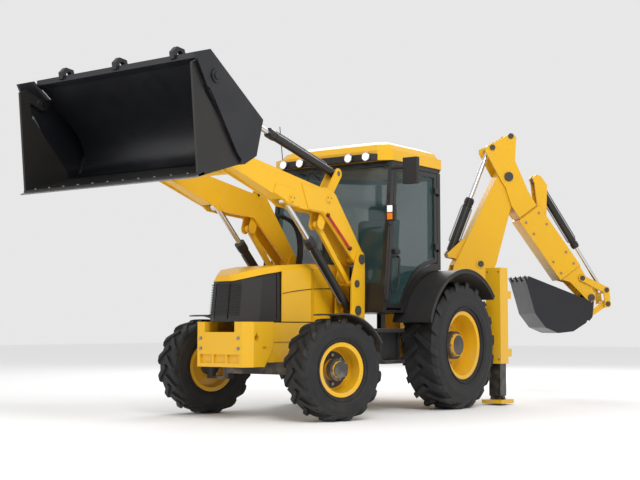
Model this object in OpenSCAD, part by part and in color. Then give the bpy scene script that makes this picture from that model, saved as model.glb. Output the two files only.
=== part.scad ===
// Backhoe loader: tractor chassis with cab, front loader with clam bucket, side-shifting backhoe.
// Frame: ground level under the middle of the rear axle, +X forward, +Y left, +Z up, millimetres.

/* [Wheels] */
// distance between the axles
wheel_base = 2170; // [2050:5:2300]
// front tyre diameter over the lugs
front_d = 990; // [900:5:1080]
// front tyre width
front_w = 340; // [280:5:400]
// front wheel centre to machine centre
front_half_track = 870; // [820:5:900]
// rear tyre diameter over the lugs
rear_d = 1410; // [1350:5:1450]
// rear tyre width
rear_w = 440; // [380:5:460]
// rear wheel centre to machine centre
rear_half_track = 880; // [860:5:910]
// front wheel turn at rest, left is positive
steer_rest = -17; // [-40:1:40]

/* [Loader] */
// middle of each loader arm to machine centre
arm_y = 450; // [440:1:465]
// outer width of one loader arm
arm_w = 170; // [165:1:175]
// thickness of the arm side plates
arm_plate = 20; // [15:1:25]
// overall width of the loader bucket
bucket_w = 2240; // [2000:10:2400]
// bore of the fork lugs on the bucket
fork_bore_d = 64; // [50:1:80]

/* [Cab] */
// outer half width of the cab
cab_half = 780; // [740:5:800]
// top of the roof above ground
roof_top = 2930; // [2850:5:3000]
// radius of the door edge about the rear axle
door_arc = 930; // [915:1:960]

/* [Backhoe] */
// slew axis behind the rear axle
slew_back = 1360; // [1300:5:1420]
// side shift of the slew axis at rest, left is positive
shift_rest = -450; // [-550:5:550]
// slew of the boom at rest, left of straight back is positive
slew_rest = 42; // [-90:1:90]
// side length of the stabiliser box
stab_box = 190; // [170:2:220]
// digging bucket width
dig_w = 570; // [400:10:900]

/* [Hidden] */
// rear mudguard: room over the tyre and thickness
rear_gap = 95;
rear_guard_t = 35;
rear_guard = rear_d / 2 + rear_gap;

yellow = [0.93, 0.72, 0.06];
black = [0.07, 0.07, 0.08];
grey = [0.22, 0.23, 0.25];
steel = [0.75, 0.76, 0.78];
rubber = [0.05, 0.05, 0.05];
glass = [0.45, 0.6, 0.6];
lens = [0.95, 0.95, 0.92];
$fn = 48;

// loader pins in the (x, z) plane
q_pin = [1270, 1620];
knee = [1830, 2210];
lever_low = [1920, 1950];
link_pin = q_pin + lever_low - knee;
lever_top = [1610, 2500];
lift_base = [1340, 1080];
lift_pin = [2450, 2160];
bucket_pin = [3550, 2450];
tilt_pin = [3490, 3000];
clam_pin = [4235, 3005];
// backhoe pins in the (reach, z) plane
foot = [300, 620];
tip = [1276, 2862];
boom_ram_base = [170, 1010];
boom_ram_pin = [890, 1720];
dip_ram_base = [509, 1856];
dip_ram_pin = [1057, 3239];
dip_angle = -54.04;
dip_dir = [cos(dip_angle), sin(dip_angle)];
dip_nrm = [-sin(dip_angle), cos(dip_angle)];
function dip(a, n) = tip + a * dip_dir + n * dip_nrm;
pin_a = dip(1656, 43);
pin_d = dip(1938, 0);
pin_b = dip(2134, 130);
pin_c = dip(2115, -173);
pin_e = dip(1977, 224);
bucket_ram_base = dip(262, 330);

function len2(a, b) = norm(b - a);
function dir2(a, b) = atan2(b[1] - a[1], b[0] - a[0]);

// flat plate with outline in (x, z), from y0 to y1
module plate(pts, y0, y1) {
  translate([0, y1, 0])
    rotate([90, 0, 0])
      linear_extrude(y1 - y0)
        polygon(pts);
}
// disc or pin along y
module pin(p, r, y0, y1) {
  translate([p[0], y1, p[1]])
    rotate([90, 0, 0])
      cylinder(r = r, h = y1 - y0);
}
// round bar in the (x, z) plane, from s0 to s1 along the line a to b
module bar(a, b, r, s0, s1, y = 0) {
  translate([a[0], y, a[1]])
    rotate([0, 90 - dir2(a, b), 0])
      translate([0, 0, s0])
        cylinder(r = r, h = s1 - s0);
}
// flat strap between two pins, width w, from y0 to y1
module strap(a, b, w, y0, y1) {
  u = (b - a) / len2(a, b);
  v = [-u[1], u[0]] * w / 2;
  plate([a - v, b - v, b + v, a + v], y0, y1);
}
module both() {
  children();
  mirror([0, 1, 0])
    children();
}
module box(a, b) {
  translate(a)
    cube(b - a);
}
// ring sector about a line along y, between two angles in the (x, z) plane
module arch(c, r0, r1, a0, a1, y0, y1) {
  translate([c[0], y1, c[1]])
    rotate([90, 0, 0])
      rotate([0, 0, a0])
        rotate_extrude(angle = a1 - a0)
          translate([r0, 0])
            square([r1 - r0, y1 - y0]);
}
module at_hoe() {
  translate([-slew_back, shift_rest, 0])
    rotate([0, 0, 180 - slew_rest])
      children();
}

// wheels
lug_sweep = 40;
module tyre_outline(r, w, rim) {
  h = w / 2;
  wall = r - rim;
  polygon([[rim, -h * 0.77], [rim + 22, -h * 0.77], [rim + 30, -h * 0.9], [rim + wall * 0.35, -h],
    [r - wall * 0.3, -h], [r - wall * 0.08, -h * 0.93], [r, -h * 0.76], [r, h * 0.76],
    [r - wall * 0.08, h * 0.93], [r - wall * 0.3, h], [rim + wall * 0.35, h], [rim + 30, h * 0.9],
    [rim + 22, h * 0.77], [rim, h * 0.77]]);
}
module tyre_cavity(r, w, rim) {
  h = w / 2;
  wall = r - rim;
  skin = w * 0.1;
  polygon([[rim - 10, -h * 0.6], [rim + 30, -h * 0.72], [rim + wall * 0.35, -h + skin],
    [r - wall * 0.3, -h + skin], [r - skin * 1.6, -h * 0.66], [r - skin * 1.6, h * 0.66],
    [r - wall * 0.3, h - skin], [rim + wall * 0.35, h - skin], [rim + 30, h * 0.72],
      [rim - 10, h * 0.6]]);
}
// hollow carcass with slanted lugs, left and right in turn
module tyre(r, w, rim, lugs, lug_h, lug_w) {
  h = w / 2;
  base = r - lug_h;
  low = base - (r - rim) * 0.17;
  rotate([90, 0, 0]) {
    rotate_extrude($fn = 72)
      difference() {
        tyre_outline(base, w, rim);
        tyre_cavity(base, w, rim);
      }
    intersection() {
      rotate_extrude($fn = 72)
        polygon([[low, -h * 0.97], [base, -h * 0.97], [r, -h * 0.84], [r, h * 0.84],
          [base, h * 0.97], [low, h * 0.97]]);
      for (s = [0, 1])
        mirror([0, 0, s])
          for (i = [0 : lugs - 1])
            rotate([0, 0, (i + s / 2) * 360 / lugs])
              rotate([lug_sweep, 0, 0])
                translate([low - lug_h, -lug_w / 2, -lug_w / 4])
                  cube([r - low + lug_h * 2, lug_w, w * 0.75]);
    }
  }
}
module rim(seat, w, disc, hub_r, hub_out) {
  h = w / 2;
  rotate([-90, 0, 0])
    rotate_extrude($fn = 72)
      polygon([[0, disc - 16], [seat - 45, disc - 16], [seat - 30, disc - 40], [seat - 22, -h * 0.78],
        [seat + 20, -h * 0.82], [seat + 20, -h * 0.78], [seat, -h * 0.78], [seat, h * 0.78],
        [seat + 20, h * 0.78], [seat + 20, h * 0.82], [seat - 22, h * 0.78], [seat - 30, disc + 40],
        [seat - 45, disc], [hub_r, disc], [hub_r, disc + 50], [hub_r - 30, hub_out], [0, hub_out]]);
}
front_seat = 245;
rear_seat = 358;
king_y = 740;
module at_front(s) {
  translate([wheel_base, s * king_y, front_d / 2])
    rotate([0, 0, steer_rest])
      translate([0, s * (front_half_track - king_y), 0])
        children();
}
module at_rear(s) {
  translate([0, s * rear_half_track, rear_d / 2])
    children();
}
module front_rim(s) {
  color(yellow)
    at_front(s)
      scale([1, s, 1])
        rim(front_seat, front_w, -30, 105, 125);
}
module front_tyre(s) {
  color(rubber)
    at_front(s)
      tyre(front_d / 2, front_w, front_seat, 15, 26, 44);
}
module rear_rim(s) {
  color(yellow)
    at_rear(s)
      scale([1, s, 1])
        rim(rear_seat, rear_w, -40, 150, 120);
}
module rear_tyre(s) {
  color(rubber)
    at_rear(s)
      tyre(rear_d / 2, rear_w, rear_seat, 18, 36, 58);
}
module front_rim_left() { front_rim(1); }
module front_rim_right() { front_rim(-1); }
module front_tyre_left() { front_tyre(1); }
module front_tyre_right() { front_tyre(-1); }
module rear_rim_left() { rear_rim(1); }
module rear_rim_right() { rear_rim(-1); }
module rear_tyre_left() { rear_tyre(1); }
module rear_tyre_right() { rear_tyre(-1); }

// steering knuckle with the bracket of its mudguard
guard_r = front_d / 2 + 36;
// inner face of the steering arm and the bracket, beside the tyre
guard_y = front_half_track - king_y - front_w / 2 - 30;
guard_bar = 22;
guard_w = 378;
module knuckle(s) {
  color(grey)
    translate([wheel_base, s * king_y, front_d / 2])
      rotate([0, 0, steer_rest])
        scale([1, s, 1]) {
          translate([0, 0, -94.7])
            cylinder(r = 46, h = 189.4);
          pin([0, 0], 85, -20, front_half_track - king_y - 46.3);
          box([-60, guard_y, -20], [30, 0, 20]);
          plate([[-230, -20], [-40, -20], [-40, 20], [-200, 20]], guard_y, guard_y + guard_bar);
          plate([[-230, -20], [-190, -20], [-112, guard_r - 8], [-185, guard_r - 28]],
            guard_y, guard_y + guard_bar);
        }
}
module front_mudguard(s) {
  color(black)
    translate([wheel_base, s * king_y, front_d / 2])
      rotate([0, 0, steer_rest])
        scale([1, s, 1])
          arch([0, 0], guard_r, guard_r + 12, 80, 152, guard_y + 2, guard_y + 2 + guard_w);
}
module knuckle_left() {
  knuckle(1);
  front_mudguard(1);
}
module knuckle_right() {
  knuckle(-1);
  front_mudguard(-1);
}

// chassis
stab_x = -880;
stab_y = 1020;
rail_in = 240;
rail_out = 320;
rail_low = 560;
rail_top = 800;
tower_in = 340;
tower_out = 560;
tower_plate = 20;
tower_pts = [[1215, 860], [1470, 860], [1450, 1110], [1445, 1380], [1350, 1650], [1310, 1700],
  [1240, 1700], [1205, 1650], [1205, 1300]];
module tower() {
  for (y = [tower_in, tower_out - tower_plate])
    plate(tower_pts, y, y + tower_plate);
  box([1215, rail_in, 800], [1470, tower_out, 900]);
  pin(q_pin, 36, tower_in, tower_out);
  pin(link_pin, 26, tower_in, tower_out);
  pin(lift_base, 34, tower_in, tower_out);
}
module main_frame() {
  color(yellow) {
    difference() {
      union() {
        both()
          box([-760, rail_in, rail_low], [2700, rail_out, rail_top]);
        box([2480, -rail_in, rail_low], [2560, rail_in, rail_top]);
        box([1215, -rail_in, rail_low], [1300, rail_in, rail_top - 130]);
      }
      translate([0, 400, rear_d / 2])
        rotate([90, 0, 0])
          cylinder(r = 110.5, h = 800);
    }
    both() {
      tower();
      box([1470, rail_out, rail_top - 40], [2483, rail_out + 10, bonnet_low - 10]);
    }
    // uprights that carry the bonnet hinge
    both()
      difference() {
        box([1245, 200, rail_top - 130], [1305, 222, 1528]);
        pin(hood_pin, 14.4, 190, 230);
      }
    // frame of the backhoe with the stabiliser boxes
    both() {
      box([-965, 250, 560], [-760, 330, 1330]);
      difference() {
        box([stab_x - stab_box / 2, stab_y - stab_box / 2, 480],
          [stab_x + stab_box / 2, stab_y + stab_box / 2, 1600]);
        box([stab_x - 78, stab_y - 78, 540], [stab_x + 78, stab_y + 78, 1610]);
        box([stab_x - 73.4, stab_y - 73.4, 470], [stab_x + 73.4, stab_y + 73.4, 550]);
      }
    }
    for (z = [560, 1240])
      difference() {
        box([-1060, -1115, z], [-960, 1115, z + 90]);
        both()
          box([-958, stab_y - 78, z - 1], [-900, stab_y + 78, z + 91]);
      }
  }
}
module engine_block() {
  color(grey) {
    box([1320, -235, 640], [2310, 235, 1240]);
    both()
      for (x = [1560, 2150])
        box([x, 200, rail_top], [x + 110, rail_out, rail_top + 50]);
  }
}
bonnet_half = 328;
bonnet_low = 960;
hood_pin = [1275, 1500];
hood_skin = 10;
hood_edge = 55;
hood_lip = 60;
// bonnet sections from the back to the front: x, half width, top
hood = [[1250, 275, 1572], [1740, 285, 1562], [1850, bonnet_half, 1556], [2330, bonnet_half, 1520],
  [2600, 300, 1478], [2840, 120, 1412]];
module hood_slab(i, low, d) {
  b = hood[i][1] - d;
  t = hood[i][2] - d;
  end = i == 0 || i == len(hood) - 1 ? d : 0;
  translate([hood[i][0] - end, 0, 0])
    rotate([90, 0, 90])
      linear_extrude(1)
        polygon([[-b, low], [b, low], [b, t - hood_edge], [b - hood_edge, t], [hood_edge - b, t],
          [-b, t - hood_edge]]);
}
module hood_shape(d) {
  hull()
    for (i = [0, 1])
      hood_slab(i, bonnet_low - d, d);
  hull()
    for (i = [1, 2, 3])
      hood_slab(i, bonnet_low - d, d);
  hull()
    for (i = [3, 4, 5])
      hood_slab(i, hood[i][2] - hood_lip - 2 * d, d);
}
module bonnet() {
  color(yellow) {
    difference() {
      hood_shape(0);
      hood_shape(hood_skin);
    }
    both() {
      box([1255, 170, 1490], [1295, 195, 1566]);
      pin(hood_pin, 14, 170, 235);
    }
  }
}
// grille below the lip of the bonnet, a prow of flat panels that leans forward at the foot
grille_x = 2337;
// inside the side walls of the bonnet, which swing past it
grille_half = bonnet_half - hood_skin - 6;
module grille_plan(x, b, d) {
  polygon([[grille_x - d * 2, d - b], [grille_x - d * 2, b - d], [x - 245, b - 22 - d],
    [x - 55 - d, b - 130 - d / 2],
    [x - d, 80], [x - d, -80], [x - 55 - d, 130 - b + d / 2], [x - 245, 22 - b + d]]);
}
module grille_shape(d) {
  intersection() {
    hull() {
      translate([0, 0, bonnet_low - 2 - d])
        linear_extrude(1)
          grille_plan(2885, grille_half, d);
      translate([0, 0, 1500])
        linear_extrude(1)
          grille_plan(2815, grille_half - 6, d);
    }
    plate([[2300, bonnet_low - 2 + d], [2300, 1458 - d], [2600, 1412 - d], [2840, 1346 - d],
      [2920, 1330 - d],
      [2920, bonnet_low - 2 + d]], -400, 400);
  }
}
module grille() {
  color(black)
    difference() {
      grille_shape(0);
      grille_shape(16);
      // shadow gaps between the panels
      for (y = [-92, 78])
        box([2700, y, 985], [2950, y + 14, 1330]);
      both()
        box([2380, 290, 990], [2396, 340, 1430]);
    }
}
nose_half = 345;
nose_top = bonnet_low - 2.3;
module nose_weight() {
  color(yellow)
    difference() {
      translate([0, 0, 520])
        linear_extrude(nose_top - 520)
          polygon([[2483, -nose_half], [2790, -nose_half], [2895, -285], [2895, 285],
            [2790, nose_half], [2483, nose_half]]);
      box([2400, -rail_out - 0.5, 500], [2700, rail_out + 0.5, 1000]);
      // corner cut at the back of the skirt
      both()
        plate([[2470, 500], [2640, 500], [2540, 620], [2470, 740]], rail_out - 5, 400);
      // tie-down eye and slot
      pin([2745, 800], 32, -400, 400);
      plate([[2727, 815], [2763, 815], [2745, 864]], -400, 400);
      both()
        box([2590, 330, 690], [2650, 360, 715]);
      // notch under the grille and pockets along the foot
      plate([[2640, 1000], [2640, 858], [2960, 858], [2960, 1000]], -190, 190);
      for (y = [-250, -75, 100])
        box([2872, y, 560], [2910, y + 150, 640]);
    }
}
module front_axle() {
  color(grey)
    difference() {
      union() {
        box([wheel_base - 70, -520, 430], [wheel_base + 70, 520, rail_low]);
        both()
          for (z = [front_d / 2 - 125, front_d / 2 + 95]) {
            box([wheel_base - 45, 470, z], [wheel_base + 45, king_y, z + 30]);
            translate([wheel_base, king_y, z])
              cylinder(r = 45, h = 30);
          }
        both()
          box([wheel_base - 45, 470, front_d / 2 - 125], [wheel_base + 45, 540, front_d / 2 + 125]);
      }
      both()
        translate([wheel_base, king_y, front_d / 2 - 94])
          cylinder(r = 85, h = 188);
    }
}
module rear_axle() {
  color(grey) {
    translate([0, 700, rear_d / 2])
      rotate([90, 0, 0])
        cylinder(r = 110, h = 1400);
    box([-190, -200, 520], [190, 200, 890]);
    both()
      translate([0, 823.7, rear_d / 2])
        rotate([90, 0, 0])
          cylinder(r = 170, h = 150);
  }
}
module axles() {
  front_axle();
  rear_axle();
}
module side_boxes() {
  color(grey)
    both() {
      box([800, rail_out, 570], [1190, 700, 850]);
      box([800, 640, 850], [1340, 800, 885]);
      box([800, 700, 520], [1190, 800, 550]);
      for (x = [800, 1160])
        box([x, 700, 550], [x + 30, 740, 850]);
    }
}

// cab
function a_x(z) = 1190 - (z - 1080) * 200 / 1700;
tub = 640;
rear_x = -500;
rear_y = 400;
post = 60;
sill = 1060;
waist = 1580;
roof_rise = 290;
head = roof_top - roof_rise;
module ring2(d) {
  polygon([[a_x(head) - d, -cab_half + d], [a_x(head) - d, cab_half - d], [40 - d * 0.3, cab_half - d],
    [rear_x + d, rear_y - d * 0.4], [rear_x + d, -rear_y + d * 0.4], [40 - d * 0.3, -cab_half + d]]);
}
module cab_base() {
  color(black) {
    translate([0, 0, sill])
      linear_extrude(24)
        polygon([[1190, -cab_half], [1190, cab_half], [860, cab_half], [860, tub], [-190, tub],
          [rear_x, rear_y], [rear_x, -rear_y], [-190, -tub], [860, -tub], [860, -cab_half]]);
    translate([0, 0, sill])
      linear_extrude(waist - sill)
        difference() {
          polygon([[860, -tub], [860, tub], [-190, tub], [rear_x, rear_y], [rear_x, -rear_y],
            [-190, -tub]]);
          polygon([[870, -tub + 12], [870, tub - 12], [-185, tub - 12], [rear_x + 12, rear_y - 6],
            [rear_x + 12, -rear_y + 6], [-185, -tub + 12]]);
        }
    // closing panel between mudguard and door
    both()
      intersection() {
        arch([0, rear_d / 2], door_arc - 88, door_arc - 10, 20, 92, cab_half - 30, cab_half);
        box([0, 0, sill], [900, 1000, 2000]);
      }
    both()
      intersection() {
        arch([0, rear_d / 2], 846, 862, 20, 92, tub - 8, cab_half - 8);
        box([0, 0, sill], [900, 1000, 2000]);
      }
    translate([0, 0, waist - 20])
      linear_extrude(20)
        difference() {
          polygon([[40, -cab_half], [40, cab_half], [rear_x, rear_y], [rear_x, -rear_y]]);
          polygon([[50, -tub + 40], [50, tub - 40], [-170, tub - 40], [rear_x + 30, rear_y - 30],
            [rear_x + 30, -rear_y + 30], [-170, -tub + 40]]);
        }
    // front wall below the windscreen
    plate([[1190, sill], [a_x(1370), 1370], [a_x(1370) - 40, 1370],
      [1150, sill]], -cab_half + 45, cab_half - 45);
    both()
      for (x = [1080, -420])
        box([x, 250, rail_top], [x + 90, 310, sill + 5]);
  }
}
module cab_frame() {
  color(black) {
    both() {
      plate([[a_x(1075), 1075], [a_x(head + 5), head + 5], [a_x(head + 5) - 65, head + 5],
        [a_x(1075) - 65, 1075]],
        cab_half - 45, cab_half);
      box([0, cab_half - 50, waist - 10], [68, cab_half, head + 5]);
      box([rear_x, rear_y - post, waist - 10], [rear_x + post, rear_y, head + 5]);
      for (z = [1750, 2380]) {
        box([40, cab_half, z], [68, cab_half + 24, z + 24]);
        translate([60, cab_half + 14, z])
          cylinder(r = 12, h = 24);
      }
    }
    translate([0, 0, head])
      linear_extrude(50)
        difference() {
          ring2(0);
          ring2(70);
        }
  }
}
module cab_shell() {
  cab_base();
  cab_frame();
}
module cab_glass() {
  color(glass) {
    plate([[a_x(1370) - 20, 1370], [a_x(head) - 20, head], [a_x(head) - 30, head],
      [a_x(1370) - 30, 1370]],
      -cab_half + 45, cab_half - 45);
    box([rear_x + 20, -rear_y + post, waist], [rear_x + 30, rear_y - post, head]);
    both()
      translate([0, 0, waist])
        linear_extrude(head - waist)
          polygon([[0, cab_half - 36], [0, cab_half - 26], [rear_x + post, rear_y - 12],
            [rear_x + post, rear_y - 24]]);
  }
}
roof_t = 14;
module roof_body(d) {
  translate([0, 0, head + 50 - d])
    linear_extrude(110)
      polygon([[1090 - d, -650], [1090 - d, 650], [1010 - d, 800 - d], [10, 800 - d],
        [-540 + d, 430], [-540 + d, -430],
        [10, -800 + d], [1010 - d, -800 + d]]);
  translate([250, 0, head + 159 - d])
    hull()
      for (k = [[0, 1], [0.6, 0.93], [1, 0.74]])
        translate([0, 0, k[0] * (roof_top - head - 160)])
          linear_extrude(1)
            scale([k[1], k[1]])
              polygon([[800 - d, -620], [800 - d, 620], [730 - d, 760 - d], [-250, 760 - d],
                [-750 + d, 400],
                [-750 + d, -400], [-250, -760 + d], [730 - d, -760 + d]]);
}
module roof() {
  color(yellow)
    difference() {
      roof_body(0);
      roof_body(roof_t);
    }
}
module visor() {
  work_lamps();
  color(black) {
    translate([0, 0, head + 50])
      linear_extrude(70)
        polygon([[1090, -650], [1150, -600], [1150, 600], [1090, 650]]);
  }
}
module work_lamps() {
  color(lens)
    both()
      for (y = [330, 560])
        translate([1150, y, head + 85])
          rotate([0, 90, 0])
            cylinder(r = 48, h = 35);
}
module interior() {
  color(black) {
    box([120, -240, 1084], [420, 240, 1430]);
    box([60, -250, 1430], [540, 250, 1540]);
    plate([[60, 1540], [190, 1540], [110, 2150], [0, 2150]], -235, 235);
    plate([[1010, 1084], [1130, 1084], [1100, 1370], [900, 1800], [860, 1780], [980, 1370]], -110, 110);
    translate([855, 0, 1820])
      rotate([0, -28, 0]) {
        rotate_extrude()
          translate([185, 0])
            circle(r = 16);
        translate([0, 0, -14])
          cylinder(r = 45, h = 28);
        translate([0, 0, -120])
          cylinder(r = 22, h = 120);
        for (a = [90, 210, 330])
          rotate([0, 0, a])
            translate([0, -16, -8])
              cube([178, 32, 16]);
      }
  }
}
module rear_mudguards() {
  color(black)
    both()
      arch([0, rear_d / 2], rear_guard, rear_guard + rear_guard_t, 18, 140, tub, 1120);
}
// the mirror stands clear of the front edge of the opening door
mirror_x = 1000;
module mirrors() {
  color(black)
    both() {
      translate([mirror_x, cab_half, head - 40])
        rotate([-90, 0, 0])
          cylinder(r = 14, h = 150);
      box([mirror_x - 30, cab_half + 150, head - 220], [mirror_x + 30, cab_half + 320, head + 60]);
    }
}
module door2() {
  difference() {
    polygon([[80, 1110], [a_x(1110) - 72, 1110], [a_x(head - 6) - 72, head - 6], [80, head - 6]]);
    translate([0, rear_d / 2])
      circle(r = door_arc, $fn = 96);
  }
}
module door2_in() {
  difference() {
    polygon([[130, 1160], [a_x(1160) - 122, 1160], [a_x(head - 56) - 122, head - 56], [130, head - 56]]);
    translate([0, rear_d / 2])
      circle(r = door_arc + 50, $fn = 96);
  }
}
module door(s) {
  color(black)
    scale([1, s, 1]) {
      translate([0, cab_half, 0])
        rotate([90, 0, 0])
          linear_extrude(34)
            difference() {
              door2();
              door2_in();
            }
      for (z = [1774.3, 2404.3]) {
        translate([60, cab_half + 14, z])
          cylinder(r = 12, h = 60);
        box([64, cab_half + 3, z], [150, cab_half + 24, z + 60]);
        box([90, cab_half - 10, z], [128, cab_half + 10, z + 60]);
      }
    }
}
module door_glass(s) {
  color(glass)
    scale([1, s, 1])
      translate([0, cab_half - 12, 0])
        rotate([90, 0, 0])
          linear_extrude(8)
            door2_in();
}
module door_left() { door(1); }
module door_right() { door(-1); }
module door_glass_left() { door_glass(1); }
module door_glass_right() { door_glass(-1); }

// loader
arm_in = arm_y - arm_w / 2;
arm_out = arm_y + arm_w / 2;
arm_pts = [[1200, 1580], [1235, 1545], [1310, 1545], [1350, 1575], [1930, 2060], [2300, 2080],
  [2390, 2090], [2490, 2096], [2560, 2136], [3330, 2375], [3480, 2380], [3600, 2390], [3620, 2450],
  [3590, 2505], [3330, 2550],
  [1976, 2325], [1800, 2330], [1700, 2270], [1210, 1690], [1192, 1630]];
// doubler plates on the outer side, at the knee and at the eye of the lift ram
knee_plate = [[1560, 1765], [1925, 2072], [2180, 2085], [2290, 2330], [1976, 2313], [1806, 2318],
  [1710, 2262], [1500, 2014]];
lift_plate = [[2310, 2092], [2484, 2104], [2556, 2144], [2740, 2202], [2700, 2290], [2420, 2270]];
box_pts = [[2600, 2150], [3330, 2395], [3420, 2400], [3420, 2515], [3330, 2528], [2600, 2430]];
module loader_arms() {
  color(yellow)
    difference() {
      union() {
        both() {
          for (y = [arm_in, arm_out - arm_plate])
            plate(arm_pts, y, y + arm_plate);
          plate(box_pts, arm_in + arm_plate, arm_out - arm_plate);
          plate(knee_plate, arm_out, arm_out + 8);
          plate(lift_plate, arm_out, arm_out + 8);
          pin(knee, 30, arm_in - 4, arm_out + 16);
          pin(lift_pin, 32, arm_out, arm_out + 16);
          pin(lift_pin, 44, arm_in - 4, arm_in + arm_plate);
          pin(knee, 48, arm_out + 8, arm_out + 14);
          pin(lift_pin, 50, arm_out + 8, arm_out + 14);
        }
        pin([3200, 2385], 45, -arm_in - 1, arm_in + 1);
      }
      both() {
        pin(q_pin, 36.5, arm_in - 20, arm_out + 20);
        pin(bucket_pin, hinge_r + 0.5, arm_in - 20, arm_out + 20);
      }
    }
}
lev = 14;
lev_out = 59;
module tip_levers() {
  color(yellow)
    both()
      difference() {
        union() {
          for (y = [arm_y - lev_out, arm_y + lev_out - lev]) {
            strap(lever_low, knee, 110, y, y + lev);
            strap(knee, lever_top, 110, y, y + lev);
            pin(lever_low, 55, y, y + lev);
            pin(knee, 70, y, y + lev);
            pin(lever_top, 55, y, y + lev);
          }
          pin(lever_low, 24, arm_y - lev_out, arm_y + lev_out);
        }
        pin(knee, 30.5, arm_y - 64, arm_y + 64);
        pin(lever_top, 26.5, arm_y - 64, arm_y + 64);
      }
}
module levelling_links() {
  color(yellow)
    both()
      difference() {
        union() {
          strap(link_pin, lever_low, 60, arm_y - 15, arm_y + 15);
          pin(link_pin, 36, arm_y - 18, arm_y + 18);
          pin(lever_low, 40, arm_y - 18, arm_y + 18);
        }
        pin(link_pin, 26.5, arm_y - 30, arm_y + 30);
        pin(lever_low, 24.5, arm_y - 30, arm_y + 30);
      }
}
// side play of a rod eye between the plates that hold it
rod_play = 0.4;
lift_r = 45;
lift_tube = 1010;
module lift_barrels() {
  color(black)
    both()
      difference() {
        union() {
          bar(lift_base, lift_pin, lift_r, 42, lift_tube, arm_y);
          pin(lift_base, 60, arm_y - 35, arm_y + 35);
        }
        bar(lift_base, lift_pin, 30, 110, lift_tube + 10, arm_y);
        pin(lift_base, 34.5, arm_y - 60, arm_y + 60);
      }
}
module lift_rods() {
  color(steel)
    both()
      difference() {
        union() {
          bar(lift_base, lift_pin, 28, 700, len2(lift_base, lift_pin) - 40, arm_y);
          pin(lift_pin, 54, arm_y - 32, arm_y + 32);
          pin(lift_pin, 32, arm_in + arm_plate + rod_play, arm_out - arm_plate - rod_play);
        }
      }
}
tilt_r = 42;
tilt_tube = 1130;
module tilt_barrels() {
  color(black)
    both()
      difference() {
        union() {
          bar(lever_top, tilt_pin, tilt_r, 80, tilt_tube, arm_y);
          bar(lever_top, tilt_pin, 24, 30, 90, arm_y);
          pin(lever_top, 46, arm_y - 22, arm_y + 22);
        }
        bar(lever_top, tilt_pin, 27, 130, tilt_tube + 10, arm_y);
        pin(lever_top, 26.5, arm_y - 60, arm_y + 60);
      }
}
module tilt_rods() {
  color(steel)
    both()
      difference() {
        union() {
          bar(lever_top, tilt_pin, 25, 900, len2(lever_top, tilt_pin) - 40, arm_y);
          pin(tilt_pin, 50, arm_y - 26, arm_y + 26);
          pin(tilt_pin, 28, arm_y - 100 + rod_play, arm_y + 100 - rod_play);
        }
      }
}
// hinge shaft of the bucket: a drum between the arms with a pin at each end
hinge_drum = arm_y - 136;
hinge_drum_r = 110;
hinge_r = 32;
module bucket_pins() {
  color(steel)
    union() {
      both()
        pin(bucket_pin, hinge_r, hinge_drum - 1, arm_y + 134);
      pin(bucket_pin, hinge_drum_r, -hinge_drum, hinge_drum);
    }
}
module tilt_pins() {
  color(steel)
    both()
      pin(lever_top, 26, arm_y - lev_out - 2, arm_y + lev_out + 2);
}
// bucket: mouldboard with hinge ears, fork lugs and side plates, and the clam below it
side_t = 24;
clam_slot = 40;
b_half = bucket_w / 2;
mould_side = [[4500, 3160], [4310, 3220], [3610, 2720], [3700, 2390], [3860, 2300], [3960, 2390],
  [4300, 2880], [4345, 2900]];
mould_back = [[3610, 2720], [3700, 2390], [3860, 2300], [3872, 2320], [3722, 2402], [3640, 2712],
  [4310, 3190], [4310, 3220]];
clam_side = [[4345, 2860], [3905, 2395], [3885, 2300], [4410, 2140], [4500, 3080], [4420, 3120]];
module mouldboard() {
  color(grey)
    difference() {
      union() {
        difference() {
          union() {
            plate(mould_back, -b_half + side_t, b_half - side_t);
            plate([[4310, 3220], [4310, 3170], [4250, 3140],
              [4230, 3160]], -b_half + side_t, b_half - side_t);
          }
          // slots that the clam's side arms swing through
          both()
            box([4110, b_half - side_t - clam_slot, 2880], [4400, b_half - side_t + 1, 3300]);
        }
        both()
          plate(mould_side, b_half - side_t, b_half);
        both()
          for (y = [arm_y - 130, arm_y + 100])
            plate([[3500, 2385], [3600, 2385], [3690, 2420], [3630, 2740], [3700, 2800],
              [3620, 3040], [3500, 3070],
              [3430, 3030], [3440, 2940], [3490, 2850], [3490, 2500]], y, y + 30);
        both()
          for (y = [arm_y - 136, arm_y + 100])
            pin(tilt_pin, 42, y, y + 36);
        both()
          pin(clam_pin, 30, b_half - side_t - 60, b_half + 4);
        for (y = [-700, 0, 700])
          difference() {
            plate([[4330, 3190], [4230, 3150], [4170, 3200], [4200, 3290], [4290, 3300],
              [4340, 3250]], y - 25, y + 25);
            pin([4255, 3235], fork_bore_d / 2, y - 30, y + 30);
          }
      }
      both()
        pin(bucket_pin, hinge_r + rod_play, arm_y - 200, arm_y + 200);
    }
}
module clam() {
  color(black)
    difference() {
      union() {
        both()
          plate(clam_side, b_half - side_t - 32, b_half - side_t - 8);
        both()
          pin(clam_pin, 58, b_half - side_t - 50, b_half - side_t - 0.3);
        both()
          strap(clam_pin, [4440, 3060], 90, b_half - side_t - 32, b_half - side_t - 8);
        plate([[3885, 2300], [4410, 2140], [4418, 2168],
          [3905, 2330]], -b_half + side_t + 8, b_half - side_t - 8);
      }
      both()
        pin(clam_pin, 30.4, b_half - 100, b_half + 10);
    }
}

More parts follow.
